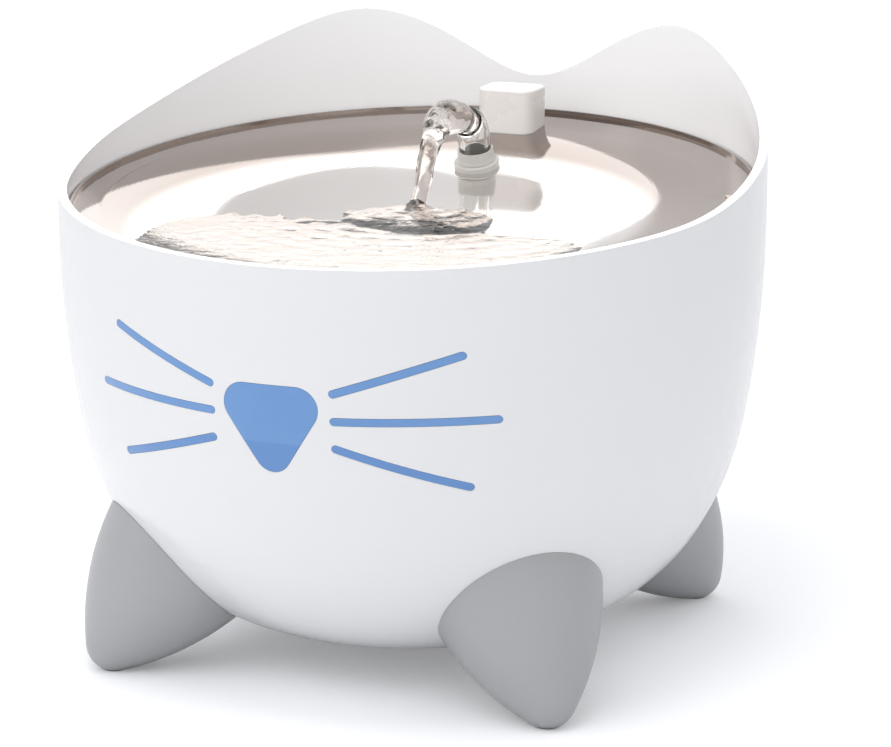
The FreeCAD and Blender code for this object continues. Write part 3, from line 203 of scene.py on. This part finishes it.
# Pump box and lid: a white plastic tub that keeps the pump and filter clear of the bowl's floor.
# It stands on its suction cups.
box_white = moulded("box_white", (0.80, 0.80, 0.79), (0.75, 0.75, 0.74), 20, 1300, 0.00001, (0.34, 0.44))
wear(box_white, "pump_box", "pump_box_lid")

# Pump: black plastic housing, cover and flow slider, with a white impeller on its own magnet.
# The stator is a stack of iron sheets wound with varnished copper wire.
pump_black = moulded("pump_black", (0.018, 0.018, 0.020), (0.028, 0.028, 0.030), 30, 1200, 0.00003, (0.36, 0.52))
impeller_white = moulded("impeller_white", (0.74, 0.74, 0.72), (0.68, 0.68, 0.66), 60, 1600, 0.00001, (0.30, 0.42))
magnet_black = moulded("magnet_black", (0.045, 0.045, 0.048), (0.07, 0.07, 0.072), 120, 1800, 0.00002, (0.44, 0.60))


def banded(name, tone, second, gloss, scale, depth):
    """Metal with even bands along the pump's axis, such as stacked sheets or wound wire."""
    material = moulded(name, tone, second, 120, 1500, 0.000004, gloss)
    tree = material.node_tree
    spot, bands, bump = new_nodes(tree, "ShaderNodeTexCoord", "ShaderNodeTexWave", "ShaderNodeBump")
    bands.bands_direction = "Y"
    bands.inputs["Scale"].default_value = scale
    bump.inputs["Distance"].default_value = depth
    wire(tree,
         (spot, "Object", bands, "Vector"),
         (bands, "Fac", bump, "Height"),
         (bump, "Normal", shader_of(material), "Normal"))
    shader_of(material).inputs["Metallic"].default_value = 1.0
    return material


core_iron = banded("core_iron", (0.24, 0.23, 0.22), (0.30, 0.28, 0.26), (0.40, 0.55), 300, 0.00015)
coil_copper = banded("coil_copper", (0.50, 0.19, 0.07), (0.40, 0.14, 0.05), (0.20, 0.32), 550, 0.00020)
wear(pump_black, "pump_housing", "pump_cover", "flow_slider")
wear(impeller_white, "impeller")
wear(magnet_black, "rotor_magnet")
wear(core_iron, "stator_core")
wear(coil_copper, "stator_coil")

# Filter: a white plastic frame that slides down into the pump box, with a foam pad and a carbon pad in it.
# Foam is open-celled, and the carbon pad is a non-woven bag over granules.


def pitted(name, tone, second, cell_scale, depth, rough):
    """A soft open surface whose cells dip between their walls."""
    material = moulded(name, tone, second, 80, 1400, 0.00005, (rough - 0.08, rough))
    tree = material.node_tree
    spot, cells, bump, shade, darker = new_nodes(
        tree, "ShaderNodeTexCoord", "ShaderNodeTexVoronoi", "ShaderNodeBump", "ShaderNodeMapRange", "ShaderNodeMix")
    cells.inputs["Scale"].default_value = cell_scale
    bump.inputs["Distance"].default_value = depth
    shade.inputs["From Max"].default_value = 0.7
    darker.data_type = "RGBA"
    darker.blend_type = "MULTIPLY"
    darker.inputs[mix_b].default_value = (0.45, 0.45, 0.47, 1)
    wire(tree,
         (spot, "Object", cells, "Vector"),
         (cells, "Distance", bump, "Height"),
         (cells, "Distance", shade, "Value"),
         (shade, "Result", darker, "Factor"),
         (skin_of(material), "Tone", darker, mix_a),
         (darker, mix_result, shader_of(material), "Base Color"),
         (bump, "Normal", shader_of(material), "Normal"))
    return material


filter_white = moulded("filter_white", (0.78, 0.79, 0.80), (0.73, 0.74, 0.75), 25, 1300, 0.00001, (0.32, 0.42))
filter_foam = pitted("filter_foam", (0.13, 0.15, 0.17), (0.18, 0.20, 0.22), 900, 0.0004, 0.92)
carbon_cloth = pitted("carbon_pad_cloth", (0.16, 0.16, 0.165), (0.22, 0.22, 0.225), 700, 0.0003, 0.88)
wear(filter_white, "filter_frame")
wear(filter_foam, "foam_pad")
wear(carbon_cloth, "carbon_pad")

# Drinking dish: stainless steel sheet, deep drawn and polished, with faint drawing rings left by the polish.
# The dish's colour is painted in two tones by radius: a bright floor, and a darker warm grey slope above it that is
# a painted reflection, not a real difference in finish.
dish_setback = 0.0208
# Between these radii the colour steps from the bright floor to the darker slope: a painted reflection.
painted_reflection_start_radius, painted_reflection_full_radius = 0.087, 0.099
# These darker warm grey tones are the painted reflection on the slope.
steel_dish_painted_reflection = turned_metal("steel_dish_painted_reflection", (0.400, 0.345, 0.315), (0.385, 0.332, 0.303), (0.045, 0.075), 260)
dish_tree = steel_dish_painted_reflection.node_tree
spot, flat, reach, painted_reflection_share, dish_tone_with_painted_reflection = new_nodes(
    dish_tree, "ShaderNodeTexCoord", "ShaderNodeVectorMath", "ShaderNodeVectorMath", "ShaderNodeMapRange",
    "ShaderNodeMix")
flat.operation = "MULTIPLY_ADD"
flat.inputs[1].default_value = (1, 1, 0)
flat.inputs[2].default_value = (0, dish_setback, 0)
reach.operation = "LENGTH"
painted_reflection_share.interpolation_type = "SMOOTHSTEP"
painted_reflection_share.inputs["From Min"].default_value = painted_reflection_start_radius
painted_reflection_share.inputs["From Max"].default_value = painted_reflection_full_radius
dish_tone_with_painted_reflection.data_type = "RGBA"
# Bright floor tone; the darker steel tones mixed in beyond it paint the reflection on the slope.
dish_tone_with_painted_reflection.inputs[mix_a].default_value = (0.80, 0.775, 0.755, 1)
wire(dish_tree,
     (spot, "Object", flat, 0),
     (flat, "Vector", reach, 0),
     (reach, "Value", painted_reflection_share, "Value"),
     (painted_reflection_share, "Result", dish_tone_with_painted_reflection, "Factor"),
     (skin_of(steel_dish_painted_reflection), "Tone", dish_tone_with_painted_reflection, mix_b),
     (dish_tone_with_painted_reflection, mix_result, shader_of(steel_dish_painted_reflection), "Base Color"))
wear(steel_dish_painted_reflection, "drinking_dish")

# Spout: a clear elbow held in a soft beige collar, which turns in a grommet in the dish.
# The elbow is moulded in clear plastic, and its wall waves a little.


def clear(name, tone, ior, gloss, ripple_scale, ripple_depth):
    """Clear glassy stuff with a slow wave in its face."""
    second = [0.985 * share for share in tone]
    material = moulded(name, tone, second, ripple_scale, ripple_scale, ripple_depth, (gloss, gloss * 1.5))
    shader_of(material).inputs["Transmission Weight"].default_value = 1.0
    shader_of(material).inputs["IOR"].default_value = ior
    return material


grommet_beige = moulded("grommet_beige", (0.56, 0.545, 0.52), (0.52, 0.505, 0.48), 60, 1500, 0.00001, (0.30, 0.42))
shader_of(grommet_beige).inputs["Coat Weight"].default_value = 0.2
spout_clear = clear("spout_clear", (0.93, 0.925, 0.91), 1.45, 0.02, 90, 0.00002)
wear(grommet_beige, "spout_grommet", "spout_collar")
wear(spout_clear, "spout_elbow")

# Lift knob: a pale plastic block screwed through the dish, by which the dish is lifted out.
# Its face has the same fine texture as the ring's, a little duller.
knob_white = moulded("knob_white", (0.76, 0.73, 0.71), (0.73, 0.70, 0.68), 30, 1500, 0.000005, (0.24, 0.32))
wear(knob_white, "lift_knob")

# Water in the dish: it stands in the low front of the tilted dish, level with the pan's edge.
# Where the stream lands a thin sheet spreads back up the floor, and rings run out from it.
# Sizes are in millimetres until the mesh is made.
dish_tilt = math.radians(4.682)
dish_centre = Vector((0.0, -20.8, 175.6965))
flange_depth, floor_depth, bend_radius = 8.5, 16.55, 114.93
floor_edge, slope_middle, slope_edge = 61.7, 91.85, 122.0
water_level = 159.46
pan_wall = 114.8
landing_x, landing_y = -1.5, 7.0
cell = 1.0
sink, skin_depth = 0.30, 0.06


def dish_depth(radius):
    """Depth of the dish's upper face below its own plane, by radius from its own centre."""
    def rise(gap):
        return bend_radius - np.sqrt(np.maximum(bend_radius ** 2 - gap ** 2, 0.0))
    lower = floor_depth - rise(radius - floor_edge)
    upper = flange_depth + rise(slope_edge - radius)
    sloped = np.where(radius <= slope_middle, lower, np.where(radius <= slope_edge, upper, flange_depth))
    return np.where(radius <= floor_edge, floor_depth, sloped)


def dish_floor(x, y):
    """Height of the dish's upper face above the ground. The tilt moves each spot, so it is closed in on."""
    along = (y - dish_centre.y) / math.cos(dish_tilt)
    for closing_in in range(6):
        depth = dish_depth(np.hypot(x, along))
        along = (y - dish_centre.y - depth * math.sin(dish_tilt)) / math.cos(dish_tilt)
    depth = dish_depth(np.hypot(x, along))
    return dish_centre.z + along * math.sin(dish_tilt) - depth * math.cos(dish_tilt)


def chop_waves(x, y, pitch, seed):
    """Slow noise from seven turned sine waves, from about -1 to 1."""
    pick = np.random.default_rng(seed)
    total = np.zeros_like(x)
    for wave in range(7):
        angle, phase = pick.uniform(0, 2 * math.pi), pick.uniform(0, 2 * math.pi)
        length = pitch * pick.uniform(0.7, 1.5)
        total += np.sin((x * math.cos(angle) + y * math.sin(angle)) * 2 * math.pi / length + phase)
    return total / 7 * 1.6


def touching(cells, shape):
    """How many of the four cells round each grid point are in use."""
    count = np.zeros(shape)
    for piece in ((slice(None, -1), slice(None, -1)), (slice(1, None), slice(None, -1)),
                  (slice(1, None), slice(1, None)), (slice(None, -1), slice(1, None))):
        count[piece] += cells
    return count


across = np.arange(-pan_wall, pan_wall + cell / 2, cell)
gx, gy = np.meshgrid(across, across, indexing="ij")
ground = dish_floor(gx, gy)
from_landing = np.hypot(gx - landing_x, gy - landing_y)
wander = 0.10 * chop_waves(gx, gy, 38, 3) + 0.05 * chop_waves(gx, gy, 15, 4)
rings = 0.60 * np.cos(from_landing * 2 * math.pi / 8.5) * np.exp(-from_landing / 34.0)
chop = 0.30 * chop_waves(gx, gy, 12, 5) + 0.20 * chop_waves(gx * 0.7, gy * 1.8, 7.5, 6)
calmer = np.clip((115 - from_landing) / 100, 0.15, 1)
level_face = water_level + wander + rings * 0.8 + chop * calmer
spread = np.hypot((gx - 4.5) / 30.0, (gy + 9.0) / 21.0) + 0.09 * chop_waves(gx, gy, 21, 8)
sheet = ground + 2.3 * (1 - spread ** 2) + 0.55 * rings + 0.5 * chop * (spread < 1)
mound = 2.6 * np.exp(-(from_landing / 4.5) ** 2)
top = np.maximum(level_face, sheet) + mound

inside = (np.hypot(gx, gy) < pan_wall) & (top > ground - 0.12)
cells = inside[:-1, :-1] & inside[1:, :-1] & inside[1:, 1:] & inside[:-1, 1:]
corners = touching(cells, inside.shape)
wet = corners > 0
number = -np.ones(inside.shape, int)
number[wet] = np.arange(wet.sum())
reach = np.maximum(np.hypot(gx, gy), 1e-6)
shore = wet & (corners < 4)
at_wall = shore & (reach > pan_wall - 2.5)
pull = np.where(at_wall, pan_wall / reach, 1.0)
wx, wy = gx * pull, gy * pull
bed = dish_floor(wx, wy) - sink
crown = np.maximum(np.where(shore & ~at_wall, bed + 0.08, top), bed + skin_depth)
upper = np.stack([wx[wet], wy[wet], crown[wet]], 1) / 1000
lower = np.stack([wx[wet], wy[wet], bed[wet]], 1) / 1000
count = len(upper)
i, j = np.nonzero(cells)
quads = np.stack([number[i, j], number[i + 1, j], number[i + 1, j + 1], number[i, j + 1]], 1).tolist()
edges = {pair for a, b, c, d in quads for pair in ((a, b), (b, c), (c, d), (d, a))}
faces = quads + [[corner + count for corner in reversed(quad)] for quad in quads]
faces += [[b, a, a + count, b + count] for a, b in sorted(edges) if (b, a) not in edges]
pool_mesh = bpy.data.meshes.new("water_pool")
pool_mesh.from_pydata([tuple(point) for point in np.vstack([upper, lower])], [], faces)
pool_mesh.update()
for polygon in pool_mesh.polygons:
    polygon.use_smooth = True
water = clear("water", (0.76, 0.71, 0.675), 1.333, 0.005, 260, 0.0004)
pool_mesh.materials.append(water)
pool = bpy.data.objects.new("water_pool", pool_mesh)
bpy.context.scene.collection.objects.link(pool)
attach(pool, "dish")

# Water stream: it leaves the spout full bore, arches over and falls in a thinner rope.
# A Geometry Nodes tree sweeps it along its path, with its own thickness at each place.
# Each point is its place and the stream's radius there, in millimetres.
stream_points = [((0, 57.0, 185.4), 4.4), ((0, 53.4, 186.9), 4.9), ((-0.3, 47.0, 189.2), 5.7),
                 ((-0.6, 40.0, 191.2), 6.6), ((-0.8, 32.0, 191.6), 6.6), ((-1.0, 25.4, 189.2), 5.4),
                 ((-1.1, 20.4, 184.4), 4.0), ((-1.2, 16.6, 178.0), 3.3), ((-1.3, 12.6, 170.6), 3.0),
                 ((-1.4, 9.0, 164.6), 2.8), ((-1.5, 6.6, 161.0), 3.6)]
lump_height = 0.0018


def swept_water():
    """Tree: a path with a radius at each point becomes a closed rope of water with lumps in its skin."""
    tree = bpy.data.node_groups.new("swept_water", "GeometryNodeTree")
    tree.interface.new_socket("Path", in_out="INPUT", socket_type="NodeSocketGeometry")
    for name, value in (("Length Step", 0.0009), ("Lump Size", 130.0), ("Lump Height", 0.0011)):
        tree.interface.new_socket(name, in_out="INPUT", socket_type="NodeSocketFloat").default_value = value
    tree.interface.new_socket("Water", in_out="INPUT", socket_type="NodeSocketMaterial")
    tree.interface.new_socket("Stream", in_out="OUTPUT", socket_type="NodeSocketGeometry")
    given, result = new_nodes(tree, "NodeGroupInput", "NodeGroupOutput")
    spaced, ring, sweep, radius = new_nodes(
        tree, "GeometryNodeResampleCurve", "GeometryNodeCurvePrimitiveCircle", "GeometryNodeCurveToMesh",
        "GeometryNodeInputRadius")
    place, out, lumps, centred, amount, push, move = new_nodes(
        tree, "GeometryNodeInputPosition", "GeometryNodeInputNormal", "ShaderNodeTexNoise", "ShaderNodeMath",
        "ShaderNodeMath", "ShaderNodeVectorMath", "GeometryNodeSetPosition")
    smooth, real, coat = new_nodes(
        tree, "GeometryNodeSetShadeSmooth", "GeometryNodeRealizeInstances", "GeometryNodeSetMaterial")
    spaced.mode = "LENGTH"
    ring.inputs["Resolution"].default_value = 40
    ring.inputs["Radius"].default_value = 1.0
    sweep.inputs["Fill Caps"].default_value = True
    lumps.inputs["Detail"].default_value = 1.0
    centred.operation = "SUBTRACT"
    centred.inputs[1].default_value = 0.5
    amount.operation = "MULTIPLY"
    push.operation = "SCALE"
    if "Scale" in sweep.inputs:
        wire(tree, (radius, "Radius", sweep, "Scale"))
    wire(tree,
         (given, "Path", spaced, "Curve"),
         (given, "Length Step", spaced, "Length"),
         (spaced, "Curve", sweep, "Curve"),
         (ring, "Curve", sweep, "Profile Curve"),
         (sweep, "Mesh", move, "Geometry"),
         (place, "Position", lumps, "Vector"),
         (given, "Lump Size", lumps, "Scale"),
         (lumps, "Fac", centred, 0),
         (centred, "Value", amount, 0),
         (given, "Lump Height", amount, 1),
         (out, "Normal", push, 0),
         (amount, "Value", push, "Scale"),
         (push, "Vector", move, "Offset"),
         (move, "Geometry", smooth, "Geometry"),
         (smooth, "Geometry", real, "Geometry"),
         (real, "Geometry", coat, "Geometry"),
         (given, "Water", coat, "Material"),
         (coat, "Geometry", result, "Stream"))
    return tree


path = bpy.data.curves.new("stream_path", "CURVE")
path.dimensions = "3D"
path.resolution_u = 24
line = path.splines.new("NURBS")
line.points.add(len(stream_points) - 1)
for point, (spot, thickness) in zip(line.points, stream_points):
    point.co = (spot[0] / 1000, spot[1] / 1000, spot[2] / 1000, 1)
    point.radius = thickness / 1000
line.order_u = 3
line.use_endpoint_u = True
path_object = bpy.data.objects.new("stream_path", path)
bpy.context.scene.collection.objects.link(path_object)
sweeper = path_object.modifiers.new("sweep", "NODES")
sweeper.node_group = swept_water()
for socket in sweeper.node_group.interface.items_tree:
    if socket.name == "Water":
        sweeper[socket.identifier] = water
    if socket.name == "Lump Height":
        sweeper[socket.identifier] = lump_height
bpy.context.view_layer.update()
swept = path_object.evaluated_get(bpy.context.evaluated_depsgraph_get())
stream_mesh = bpy.data.meshes.new_from_object(swept)
path_object.modifiers.clear()
bpy.data.objects.remove(path_object)
stream = bpy.data.objects.new("water_stream", stream_mesh)
bpy.context.scene.collection.objects.link(stream)
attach(stream, "spout")

# Floor: a plain white sweep, lifted to white where the camera sees it unshaded.
floor_lift = 0.17
floor_half = 9
floor_mesh = bpy.data.meshes.new("floor")
floor_mesh.from_pydata([(-floor_half, -floor_half, 0), (floor_half, -floor_half, 0), (floor_half, floor_half, 0),
                        (-floor_half, floor_half, 0)], [], [(0, 1, 2, 3)])
floor_white = bpy.data.materials.new("floor_white")
floor_white.use_nodes = True
floor_shader = shader_of(floor_white)
floor_shader.inputs["Base Color"].default_value = (0.93, 0.935, 0.95, 1)
floor_shader.inputs["Roughness"].default_value = 0.9
floor_shader.inputs["Specular IOR Level"].default_value = 0.0
floor_shader.inputs["Emission Color"].default_value = (1, 1, 1, 1)
seen, lift = new_nodes(floor_white.node_tree, "ShaderNodeLightPath", "ShaderNodeMath")
lift.operation = "MULTIPLY"
lift.inputs[1].default_value = floor_lift
wire(floor_white.node_tree,
     (seen, "Is Camera Ray", lift, 0),
     (lift, "Value", floor_shader, "Emission Strength"))
floor_mesh.materials.append(floor_white)
floor = bpy.data.objects.new("floor", floor_mesh)
bpy.context.scene.collection.objects.link(floor)

# Room light: an even pale studio, which the camera and clear or polished faces see as plain white.
room_strength = 0.67
world = bpy.data.worlds.new("studio")
world.use_nodes = True
bpy.context.scene.world = world
room = world.node_tree.nodes["Background"]
room.inputs["Color"].default_value = (0.97, 0.98, 1.0, 1)
room.inputs["Strength"].default_value = room_strength
backdrop, pick, seen, either, any_of = new_nodes(
    world.node_tree, "ShaderNodeBackground", "ShaderNodeMixShader", "ShaderNodeLightPath", "ShaderNodeMath",
    "ShaderNodeMath")
backdrop.inputs["Color"].default_value = (1, 1, 1, 1)
either.operation = any_of.operation = "MAXIMUM"
wire(world.node_tree,
     (seen, "Is Camera Ray", either, 0),
     (seen, "Is Glossy Ray", either, 1),
     (either, "Value", any_of, 0),
     (seen, "Is Transmission Ray", any_of, 1),
     (any_of, "Value", pick, "Fac"),
     (room, "Background", pick, 1),
     (backdrop, "Background", pick, 2),
     (pick, "Shader", world.node_tree.nodes["World Output"], "Surface"))

# Lamps: soft studio boxes. The far one stands behind the object and shows in the polished dish.
# The one over the dish lights the insides of the ears.


def soft_box(name, place, aim, width, length, radiance):
    """A flat lamp of that radiance, turned towards a point."""
    lamp = bpy.data.lights.new(name, "AREA")
    lamp.shape = "RECTANGLE"
    lamp.size, lamp.size_y = width, length
    lamp.energy = radiance * math.pi * width * length
    holder = bpy.data.objects.new(name, lamp)
    bpy.context.scene.collection.objects.link(holder)
    holder.location = place
    holder.rotation_euler = (Vector(aim) - Vector(place)).to_track_quat("-Z", "Y").to_euler()


soft_box("far_box", (-0.9, 2.2, 1.75), (0, 0, 0.15), 4.4, 1.9, 0.95)
soft_box("front_box", (-1.5, -1.7, 1.5), (0, 0, 0.1), 1.8, 1.4, 1.3)
soft_box("high_box", (0.2, -1.5, 2.1), (0, 0.1, 0.2), 1.8, 1.4, 1.0)
soft_box("dish_box", (0, -0.12, 0.62), (0, 0.10, 0.2), 0.35, 0.25, 4.8)

# Camera: a long lens to the object's right, looking a little down on it.
camera_pitch, camera_turn = 13.784, 22.15
camera = bpy.data.cameras.new("camera")
camera.lens = 146.02
camera.sensor_width = 36.0
camera.shift_x = 0.0067
camera_object = bpy.data.objects.new("camera", camera)
bpy.context.scene.collection.objects.link(camera_object)
camera_object.location = (0.5024, -1.2082, 0.4213)
camera_object.rotation_euler = (math.radians(90 - camera_pitch), 0, math.radians(camera_turn))
bpy.context.scene.camera = camera_object
bpy.context.scene.view_settings.view_transform = "Standard"
